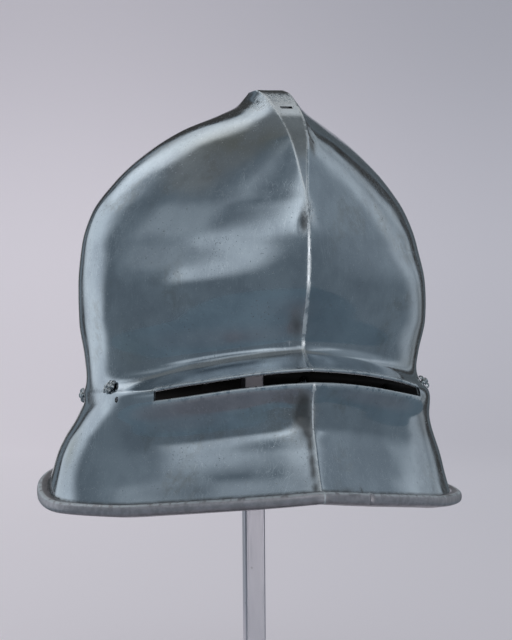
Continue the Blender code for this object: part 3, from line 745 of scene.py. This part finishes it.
def fill_sockets(tree, node, sockets):
    """Sets or links a node's inputs, given by name or in order, and turns hex colours to linear ones."""
    for place, value in sockets.items() if isinstance(sockets, dict) else enumerate(sockets):
        if isinstance(value, bpy.types.NodeSocket):
            tree.links.new(value, node.inputs[place])
        else:
            node.inputs[place].default_value = linear(value) if isinstance(value, str) else value


def add_node(tree, kind, sockets=(), out=0, **settings):
    """One output of a new node with its settings and inputs."""
    node = tree.nodes.new("ShaderNode" + kind)
    for name, value in settings.items():
        setattr(node, name, value)
    fill_sockets(tree, node, sockets)
    return node.outputs[out]


def new_material(name):
    """An empty material, what adds nodes to it, and the piece's own coordinates."""
    made = bpy.data.materials.new(name)
    made.use_nodes = True
    add = partial(add_node, made.node_tree)
    return made, add, add("TexCoord", out="Object")


def finished(made, sockets):
    """The material, with the inputs of its Principled shader set or linked by name."""
    fill_sockets(made.node_tree, made.node_tree.nodes["Principled BSDF"], sockets)
    return made


SOFT = {"interpolation_type": "SMOOTHSTEP"}


def pattern(add, where, size, low, high, detail=2.0, roughness=0.5, bottom=0.0, top=1.0):
    """Clouds about size metres across: fractal noise put through a soft step between two thresholds."""
    cloud = add("TexNoise", {"Vector": where, "Scale": 1 / size, "Detail": detail, "Roughness": roughness})
    return add("MapRange", (cloud, low, high, bottom, top), **SOFT)


def scratches(add, where, turn, size, fine):
    """Long thin lines: noise drawn out along one direction and cut to a narrow band."""
    turned = add("Mapping", {"Vector": where, "Rotation": turn, "Scale": (1, 1, 0.06)})
    drawn = add("TexNoise", {"Vector": turned, "Scale": 1 / size, "Detail": 1.0})
    off = add("Math", (add("Math", (drawn, 0.5), operation="SUBTRACT"),), operation="ABSOLUTE")
    return add("MapRange", (off, 0.0, fine, 1.0, 0.0), **SOFT)


def layered(add, base, *layers):
    """A base colour under layers, each with an amount, the share of it that covers and a colour."""
    for amount, cover, colour in layers:
        seen = add("Math", (amount, cover), operation="MULTIPLY")
        base = add("Mix", {0: seen, 6: base, 7: colour}, 2, data_type="RGBA")
    return base


def heaped(add, start, *parts):
    """A start value with each part's amount times its factor added to it."""
    for amount, factor in parts:
        start = add("Math", (amount, factor, start), operation="MULTIPLY_ADD")
    return start


def plate_steel(s):
    """Old hand-polished plate steel: blue-grey, clouded, pitted and scratched, bright where it is rubbed,
    with painted highlights on the keel, the sight's lips and the rim's corner, and painted shade, with some
    grime, round dents, beside the face's ridge, in the rim's breaks and at the rim's root.

    Pattern sizes are in metres. Pits 1 mm wide and scratches 3 mm apart are coarser than real ones, to show.
    """
    made, add, where = new_material("old polished plate steel")
    stain, shade_and_grime, rim_root_shade_and_grime, bright, wear_and_highlight, rim, inner, keel_gap = (
        add("Attribute", out="Fac", attribute_name=name)
        for name in ("stain", "shade_and_grime", "rim_root_shade_and_grime", "bright", "wear_and_highlight", "rim", "inner", "keel_gap"))

    patch = add("Math", (pattern(add, where, 0.045, 0.54, 0.66, 3.0, 0.6),
                         pattern(add, where, 0.005, 0.35, 0.60, 3.0, 0.7)), operation="MULTIPLY")
    stain = add("Math", (stain, pattern(add, where, 0.035, 0.25, 0.50, 4.0, 0.6)), operation="MULTIPLY")
    specks = add("TexNoise", {"Vector": where, "Scale": 1 / 0.0013, "Detail": 3.0, "Roughness": 0.65})
    crowd = pattern(add, where, 0.020, 0.42, 0.62, 3.0, 0.6, 0.03, 0.0)
    pits = add("MapRange", (add("Math", (specks, crowd), operation="SUBTRACT"), 0.63, 0.69), **SOFT)
    lines = add("Math", (scratches(add, where, (0.5, 0.3, 0.2), 0.004, 0.010),
                         scratches(add, where, (1.3, 0.2, 1.1), 0.003, 0.008)), operation="MAXIMUM")
    lines = add("Math", (lines, pattern(add, where, 0.025, 0.45, 0.60)), operation="MULTIPLY")
    mottle = pattern(add, where, 0.004, 0.35, 0.65, 3.0, 0.6)
    # The painted shade and grime at the rim's root, broken up by a mottle.
    rim_root_shade_and_grime = add("Math", (rim_root_shade_and_grime, add("MapRange", (mottle, 0.0, 0.8, 0.6, 1.0), **SOFT)), operation="MULTIPLY")
    shade_and_grime = add("Math", (shade_and_grime, rim_root_shade_and_grime), operation="MAXIMUM")

    wear_and_highlight = add("Math", (wear_and_highlight, pattern(add, where, 0.004, 0.30, 0.50)), operation="MULTIPLY")
    rubbed = add("Math", (bright, pattern(add, where, 0.0015, 0.38, 0.58, 3.0, 0.7)), operation="MULTIPLY")
    scuffs = add("Math", (bright, scratches(add, where, (0.9, 0.4, 0.7), 0.0016, 0.05)), operation="MULTIPLY")
    # A thin bright line on the keel, partly wear and partly a painted highlight.
    waver = add("TexNoise", {"Vector": where, "Scale": 1 / 0.003})
    keel = add("MapRange", (heaped(add, keel_gap, (waver, 0.0008)), 0.00065, 0.00105, 1.0, 0.0), **SOFT)
    keel = add("Math", (keel, pattern(add, where, 0.006, 0.36, 0.50, bottom=0.35)), operation="MULTIPLY")
    for amount in (rubbed, keel):
        wear_and_highlight = add("Math", (wear_and_highlight, amount), operation="MAXIMUM")

    base = layered(
        add, s.steel,
        (pattern(add, where, 0.035, 0.35, 0.65, 4.0, 0.6), 1.0, "#BAC2C8"),
        (patch, 0.35, "#8F8D86"),
        (stain, 0.75, "#90928A"),
        (pits, 0.4, "#5A5856"),
        (pattern(add, where, 0.0011, 0.64, 0.70, 2.0, 0.6), 0.5, "#D6DADC"),
        (lines, 0.45, "#D2D8DC"),
        (rim, 0.8, layered(add, "#A8A0A2", (mottle, 1.0, "#C0B8BB"))),
        # Painted shade with some grime: dark round the dents, beside the face's ridge, in the rim's breaks
        # and at the rim's root.
        (shade_and_grime, 0.85, "#3A3937"),
        # Wear and painted highlights: the keel, the sight's lips, the rim's corner and the rubbed patches.
        (wear_and_highlight, 1.0, "#E4E8EA"),
        (scuffs, 0.5, "#56585A"),
        (inner, 1.0, "#2C2A28"),
    )
    metal = 1.0
    for amount, dulled in ((shade_and_grime, 0.85), (rubbed, 0.55), (rim, 0.35)):
        metal = add("Math", (metal, heaped(add, 1.0, (amount, -dulled))), operation="MINIMUM")
    rough = pattern(add, where, 0.012, 0.30, 0.75, 4.0, 0.65, 0.08, 0.17)
    ripple = add("TexNoise", {"Vector": where, "Scale": 1 / 0.009, "Detail": 3.0})
    relief = heaped(add, 0.0, (ripple, 0.6), (pits, -1.0), (lines, -0.3))
    return finished(made, {
        "Base Color": base,
        "Metallic": metal,
        "Roughness": heaped(add, rough, (pits, 0.25), (rim, 0.28), (wear_and_highlight, 0.28), (inner, 0.35)),
        "Normal": add("Bump", {"Height": relief, "Strength": 0.25, "Distance": 0.0001}),
    })


def rivet_steel(r):
    """Darkened rivet steel, clouded lighter in spots about 2 mm across."""
    made, add, where = new_material("darkened rivet steel")
    cloud = pattern(add, where, 0.002, 0.35, 0.65, 3.0)
    return finished(made, {
        "Base Color": layered(add, r.steel, (cloud, 1.0, "#D2D6D8")),
        "Metallic": 1.0,
        "Roughness": pattern(add, where, 0.001, 0.3, 0.7, bottom=0.18, top=0.32),
        "Normal": add("Bump", {"Height": cloud, "Strength": 0.2, "Distance": 0.00003}),
    })


def stand_steel(t):
    """Satin stand steel, brushed along its length, painted paler towards its foot as painted light, against
    the shade under the helmet. Its 0.4 mm grain is coarse, to show.
    """
    made, add, where = new_material("satin brushed stand steel")
    drawn = add("Mapping", {"Vector": where, "Scale": (1, 1, 0.02)})
    grain = add("TexNoise", {"Vector": drawn, "Scale": 1 / 0.0004, "Roughness": 0.6})
    # Painted light: the post's lowest 0.11 m and its foot are painted paler.
    low = add("MapRange", (add("SeparateXYZ", (where,), "Z"), 0.0, 0.11, 1.0, 0.0), **SOFT)
    return finished(made, {
        "Base Color": layered(
            add, t.steel,
            (grain, 1.0, "#C2BEC4"),
            (low, 1.0, "#EAE6EC"),
            (pattern(add, where, 0.005, 0.70, 0.76), 0.4, "#77736F"),
        ),
        "Metallic": 1.0,
        "Roughness": add("MapRange", (grain, 0.3, 0.7, 0.30, 0.40), **SOFT),
        "Normal": add("Bump", {"Height": grain, "Strength": 0.15, "Distance": 0.00005}),
    })


def studio_floor(v):
    """Pale matt floor, faintly mottled, painted darker and bluer further out as painted shade that meets the
    dark studio, and darker still towards +X.
    """
    made, add, where = new_material("pale studio floor")
    mottle = add("TexNoise", {"Vector": where, "Scale": 1 / 0.3, "Detail": 3.0})
    flat = add("VectorMath", (where, (1, 1, 0)), operation="MULTIPLY")
    # Painted shade: the floor darkens away from the stand, and more towards +X.
    far_shade = add("MapRange", (add("VectorMath", (flat,), "Value", operation="LENGTH"), 0.15, 0.50), **SOFT)
    aside = add("MapRange", (add("SeparateXYZ", (where,), "X"), -0.2, 0.4), **SOFT)
    edge = layered(add, "#B6C9D5", (aside, 1.0, "#A2B4C0"))
    return finished(made, {
        "Base Color": layered(add, v.floor_tone, (mottle, 1.0, "#CCC8CE"), (far_shade, 1.0, edge)),
        "Roughness": 0.9,
    })


def studio_paper(v):
    """Pale matt studio paper that glows as painted light behind the stand, dimmer at its top and dark at its
    front, and painted lighter and warmer at the left of the picture.
    """
    made, add, where = new_material("pale studio paper")
    turned = add("Mapping", {"Vector": where, "Rotation": (0, 0, -v.azimuth)})
    aside, behind, up = (add("SeparateXYZ", (turned,), axis) for axis in "XYZ")
    # Painted light: the paper's glow, dimmer towards its top and none at its front.
    glow = add("Math", (add("MapRange", (behind, -0.1, 0.25, 0.0, 0.62), **SOFT),
                        add("MapRange", (up, 0.30, 0.95, 1.0, 0.62), **SOFT)), operation="MULTIPLY")
    # Painted light: the paper is painted paler at the left of the picture and darker at the right.
    base = layered(add, v.paper_tone, (add("MapRange", (aside, -0.55, 0.60), **SOFT), 1.0, "#B1AFB6"))
    return finished(made, {
        "Base Color": base,
        "Roughness": 0.9,
        "Emission Color": base,
        "Emission Strength": glow,
    })


def finish_piece(piece, node):
    """Parents a piece to the root body and hides the CAD node that it stands for."""
    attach(piece, "root")
    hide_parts(node)


# Half the depth of what cuts the slot and the lace holes, and the plate's sharpest smooth edge in degrees.
HALF_CUT = 0.005
PLATE_CREASE = 48


class SALLET_OT_plate(bpy.types.Operator):
    """Build the helmet's one plate"""
    bl_idname = "sallet.plate"
    bl_label = "Helmet Plate"

    def execute(self, context):
        s = context.scene.sallet_plate
        points, faces, masks = plate_mesh(s)
        piece = new_piece("helmet_plate", points, faces, plate_steel(s), masks, PLATE_CREASE)
        outer, normals = outer_surface(s)
        slot_height = s.waist + s.skull_height - s.slot_drop
        middle = 2 * s.columns + 1 + FACET_COLUMNS // 2
        row = int(np.argmin(np.abs(outer[:, middle, 2] - slot_height)))
        point = outer[row, middle] * (0, 1, 1)
        holes = [("crest_slot", *box_solid(s.slot_width / 2, s.slot_height / 2, HALF_CUT),
                  out_frame(point, normals[row, middle]))]
        drill = revolved(np.full((2, 24), s.lace_hole / 2), np.outer((-HALF_CUT, HALF_CUT), np.ones(24)))
        for side in (-1, 1):
            station = RIVETS[0][2] - s.lace_ahead
            height = float(lip_height(s, np.array(station))) - s.lace_drop
            at = nearest(s, outer, side, station, height)
            holes.append(("lace_hole", *drill, out_frame(outer[at], normals[at])))
        cut_holes(piece, holes)
        piece.data.set_sharp_from_angle(angle=math.radians(PLATE_CREASE))
        finish_piece(piece, "skull")
        return {"FINISHED"}


class SALLET_OT_rivets(bpy.types.Operator):
    """Set the seven rosette rivets"""
    bl_idname = "sallet.rivets"
    bl_label = "Rosette Rivets"

    def execute(self, context):
        s = context.scene.sallet_plate
        r = context.scene.sallet_rivets
        clearance = context.scene.sallet_stand.clearance
        outer, normals = outer_surface(s)
        steel = rivet_steel(r)
        for name, side, station, rise in RIVETS:
            height = float(lip_height(s, np.array(station))) + rise
            at = nearest(s, outer, side, station, height)
            point, out = outer[at], normals[at]
            near = outer[np.linalg.norm(outer - point, axis=-1) < r.head / 2] - point
            above = max(float((near @ out).max()), 0.0) + clearance
            below = min(float((near @ out).min()), 0.0) - s.plate - clearance
            points, faces = rosette(r, above, below)
            place = out_frame(point, out)
            points = points @ np.array(place.to_3x3()).T + np.array(place.translation)
            piece = new_piece("rosette_" + name[6:], points, faces, steel, crease=50)
            finish_piece(piece, name)
        return {"FINISHED"}


# A petal's middle line from its foot to the boss, as shares of the head's radius and of its rise.
PETAL_PROFILE = (
    ("out", "rise"),
    (1.0, 0.0), (1.03, 0.10), (1.0, 0.24), (0.93, 0.40), (0.84, 0.54), (0.72, 0.64), (0.60, 0.66),
    (0.50, 0.62), (0.44, 0.55), (0.40, 0.60), (0.36, 0.76), (0.28, 0.90), (0.18, 0.98), (0.08, 1.0),
)


def rosette(r, above, below):
    """A rivet about Z: clenched end, shank, and a head whose petals rise round a central boss.

    The head's reach is its radius less a notch that deepens outwards between petals, and its height a dome
    with grooves along the notches and a ring round the boss.
    """
    sides = 16 * r.petals
    lobe = 0.5 - 0.5 * np.cos(r.petals * np.linspace(0, 2 * math.pi, sides, endpoint=False))[None]
    flat = np.ones((1, sides))
    inner = np.array([(0.30, -1.0), (0.75, -0.9), (1.0, -0.5), (1.0, 0.0)])
    clench = inner[:, :1] * r.clench / 2 * flat
    clench_height = below + inner[:, 1:] * r.clench_rise * flat
    shank = np.array([[1.0], [1.0]]) * r.shank / 2 * flat
    shank_height = np.array([[below], [above]]) * flat
    out = column(PETAL_PROFILE, "out")[:, None]
    dome = column(PETAL_PROFILE, "rise")[:, None]
    head = r.head / 2 * out * (1 - r.petal_depth * out ** 2 * lobe)
    groove = 0.38 * np.clip((out - 0.45) / 0.4, 0, 1) * lobe ** 3
    head_height = above + r.rise * dome * (1 - groove)
    reach = np.concatenate([clench, shank, head])
    height = np.concatenate([clench_height, shank_height, head_height])
    return revolved(reach, height)


class SALLET_OT_stand(bpy.types.Operator):
    """Build the post with its saddle and finish the foot"""
    bl_idname = "sallet.stand"
    bl_label = "Post Stand"

    def execute(self, context):
        s = context.scene.sallet_plate
        t = context.scene.sallet_stand
        steel = stand_steel(t)
        outer, normals = outer_surface(s)
        crown = (outer - normals * s.plate)[: s.skull_rows // 2].reshape(-1, 3)
        points, faces = post_mesh(t, crown)
        piece = new_piece("flat_bar_post", points, faces, steel, crease=50)
        finish_piece(piece, "post")
        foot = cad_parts["base_plate"]
        foot.data.materials.clear()
        foot.data.materials.append(steel)
        return {"FINISHED"}


# How much further than the nearest point of the crown the saddle still keeps clear of.
CROWN_REACH = 0.004


def post_mesh(t, crown):
    """A flat bar with rounded edges that spreads into a saddle whose top follows the crown from inside.

    Rows are rounded rectangles carried up the bar, then circles; the saddle's top takes at each point the
    lowest height of the crown within reach of it.
    """
    sides = 96
    angle = np.linspace(0, 2 * math.pi, sides, endpoint=False)
    cos, sin = np.cos(angle), np.sin(angle)
    half_x = t.width / 2 - t.edge
    half_y = t.depth / 2 - t.edge
    corner_x = np.clip(cos * t.width, -half_x, half_x) + t.edge * cos
    corner_y = np.clip(sin * t.width, -half_y, half_y) + t.edge * sin
    radii = np.linspace(t.saddle, t.saddle / 12, 12)
    top_x = radii[:, None] * cos
    top_y = radii[:, None] * sin
    gap = np.hypot(top_x[..., None] - crown[:, 0], top_y[..., None] - crown[:, 1])
    reached = gap < gap.min(axis=-1, keepdims=True) + CROWN_REACH
    top_z = np.where(reached, crown[:, 2], np.inf).min(axis=-1) - t.clearance
    under = float(top_z.min()) - t.saddle_depth
    spread = np.array([1.0, 1.0, 0.0, 0.0])
    heights = np.array([t.foot + t.clearance, under, *(under + t.saddle_depth * np.array([0.25, 0.6]))])
    reach = np.array([0, 0, t.saddle * 0.7, t.saddle])
    x = spread[:, None] * corner_x + reach[:, None] * cos
    y = spread[:, None] * corner_y + reach[:, None] * sin
    z = heights[:, None] + np.zeros(sides)
    return stacked(np.concatenate([x, top_x]), np.concatenate([y, top_y]), np.concatenate([z, top_z]))


class SALLET_OT_studio(bpy.types.Operator):
    """Set the paper sweep, the light and the camera"""
    bl_idname = "sallet.studio"
    bl_label = "Studio"

    def execute(self, context):
        v = context.scene.sallet_studio
        add_paper(v)
        add_light(v)
        add_camera(v)
        return {"FINISHED"}


def add_paper(v):
    """The floor, and behind it a sweep of lit paper that bends upright well behind the stand."""
    turn = np.linspace(0, math.pi / 2, 24)
    y = np.concatenate([[-v.paper_front], v.paper_back - v.paper_bend * (1 - np.sin(turn)), [v.paper_back]])
    z = np.concatenate([[0.0], v.paper_bend * (1 - np.cos(turn)), [v.paper_top]])
    side = v.paper_width / 2 * (v.distance + y) / (v.distance + v.paper_back)
    sweep = np.concatenate([np.column_stack([x, y, z]) for x in (-side, side)])
    first = np.arange(len(y) - 1)
    faces = np.column_stack([first, first + len(y), first + len(y) + 1, first + 1]).tolist()
    turned = np.array(Matrix.Rotation(v.azimuth, 3, "Z"))
    sweep = sweep @ turned.T - (0, 0, v.paper_drop)
    paper = new_piece("paper_sweep", sweep, faces, studio_paper(v), crease=80)
    half = v.floor / 2
    ground = np.array([(x, y, -v.floor_drop) for x, y in
                       ((-half, -half), (half, -half), (half, half), (-half, half))])
    floor = new_piece("floor", ground, [(0, 1, 2, 3)], studio_floor(v), crease=80)


def add_light(v):
    """The world as soft-edged panels of light in dark surroundings, placed by angles from the camera."""
    world = bpy.data.worlds.new("studio_light")
    bpy.context.scene.world = world
    world.use_nodes = True
    add = partial(add_node, world.node_tree)
    heading = add("TexCoord", out="Generated")
    toward = (math.sin(v.azimuth), -math.cos(v.azimuth), 0)
    right = (math.cos(v.azimuth), math.sin(v.azimuth), 0)
    ahead, aside = (add("VectorMath", (heading, way), "Value", operation="DOT_PRODUCT")
                    for way in (toward, right))
    azimuth = add("Math", (add("Math", (aside, ahead), operation="ARCTAN2"),), operation="DEGREES")
    up = add("SeparateXYZ", (heading,), "Z")
    elevation = add("Math", (add("Math", (up,), operation="ARCSINE"),), operation="DEGREES")
    total = layered(add, "#747F88", (add("MapRange", (elevation, 42, 47), **SOFT), 1.0, "#84888A"))
    for row in PANELS[1:]:
        at = dict(zip(PANELS[0], row))
        off = add("Math", (azimuth, at["azimuth"]), operation="SUBTRACT")
        off = add("Math", (off, 180.0, -180.0), operation="WRAP")
        rise = add("Math", (elevation, at["elevation"]), operation="SUBTRACT")
        level = at["strength"]
        for away, half in ((off, at["half_width"]), (rise, at["half_height"])):
            away = add("Math", (away,), operation="ABSOLUTE")
            soft = at["softness"]
            inside = add("MapRange", (away, half - soft, half + soft, 1.0, 0.0), **SOFT)
            level = add("Math", (level, inside), operation="MULTIPLY")
        glow = add("VectorMath", {0: linear(at["colour"])[:3], "Scale": level}, operation="SCALE")
        total = add("VectorMath", (total, glow), operation="ADD")
    total = add("VectorMath", (total, (DARKEST,) * 3), operation="MAXIMUM")
    fill_sockets(world.node_tree, world.node_tree.nodes["Background"], {"Color": total})


def add_camera(v):
    """The camera, level with the sight, framing the picture."""
    data = bpy.data.cameras.new("camera")
    data.sensor_width = 36.0
    data.lens = data.sensor_width * v.distance / v.picture
    data.shift_x = v.shift
    camera = bpy.data.objects.new("camera", data)
    bpy.context.scene.collection.objects.link(camera)
    back = Vector((math.sin(v.azimuth), -math.cos(v.azimuth), 0))
    aim = (-back).to_track_quat("-Z", "Y").to_matrix().to_4x4()
    camera.matrix_world = (Matrix.Translation(back * v.distance + Vector((0, 0, v.eye))) @ aim
                           @ Matrix.Rotation(v.roll, 4, "Z"))
    bpy.context.scene.camera = camera
    bpy.context.scene.view_settings.view_transform = "Standard"


class SALLET_PT_panel(bpy.types.Panel):
    """Settings and buttons for the sallet"""
    bl_label = "Sallet"
    bl_idname = "SALLET_PT_panel"
    bl_space_type = "VIEW_3D"
    bl_region_type = "UI"
    bl_category = "Sallet"

    def draw(self, context):
        for group, operator in STEPS:
            box = self.layout.box()
            settings = getattr(context.scene, group)
            for name in settings.bl_rna.properties.keys():
                if name not in ("rna_type", "name"):
                    box.prop(settings, name)
            box.operator(operator)


GROUPS = (("sallet_plate", PlateSettings), ("sallet_rivets", RivetSettings), ("sallet_stand", StandSettings),
          ("sallet_studio", StudioSettings))
OPERATORS = (SALLET_OT_plate, SALLET_OT_rivets, SALLET_OT_stand, SALLET_OT_studio)
STEPS = tuple((group, operator.bl_idname) for (group, _), operator in zip(GROUPS, OPERATORS))


def register():
    """Register the classes and hang the settings on the scene."""
    for name, group in GROUPS:
        bpy.utils.register_class(group)
        setattr(bpy.types.Scene, name, bpy.props.PointerProperty(type=group))
    for made in OPERATORS + (SALLET_PT_panel,):
        bpy.utils.register_class(made)


def unregister():
    """Take the classes and settings away again."""
    for made in reversed(OPERATORS + (SALLET_PT_panel,)):
        bpy.utils.unregister_class(made)
    for name, group in reversed(GROUPS):
        delattr(bpy.types.Scene, name)
        bpy.utils.unregister_class(group)


def main():
    """Build every piece and the studio."""
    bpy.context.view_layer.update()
    register()
    bpy.ops.sallet.plate()
    bpy.ops.sallet.rivets()
    bpy.ops.sallet.stand()
    bpy.ops.sallet.studio()


if __name__ == "__main__":
    main()
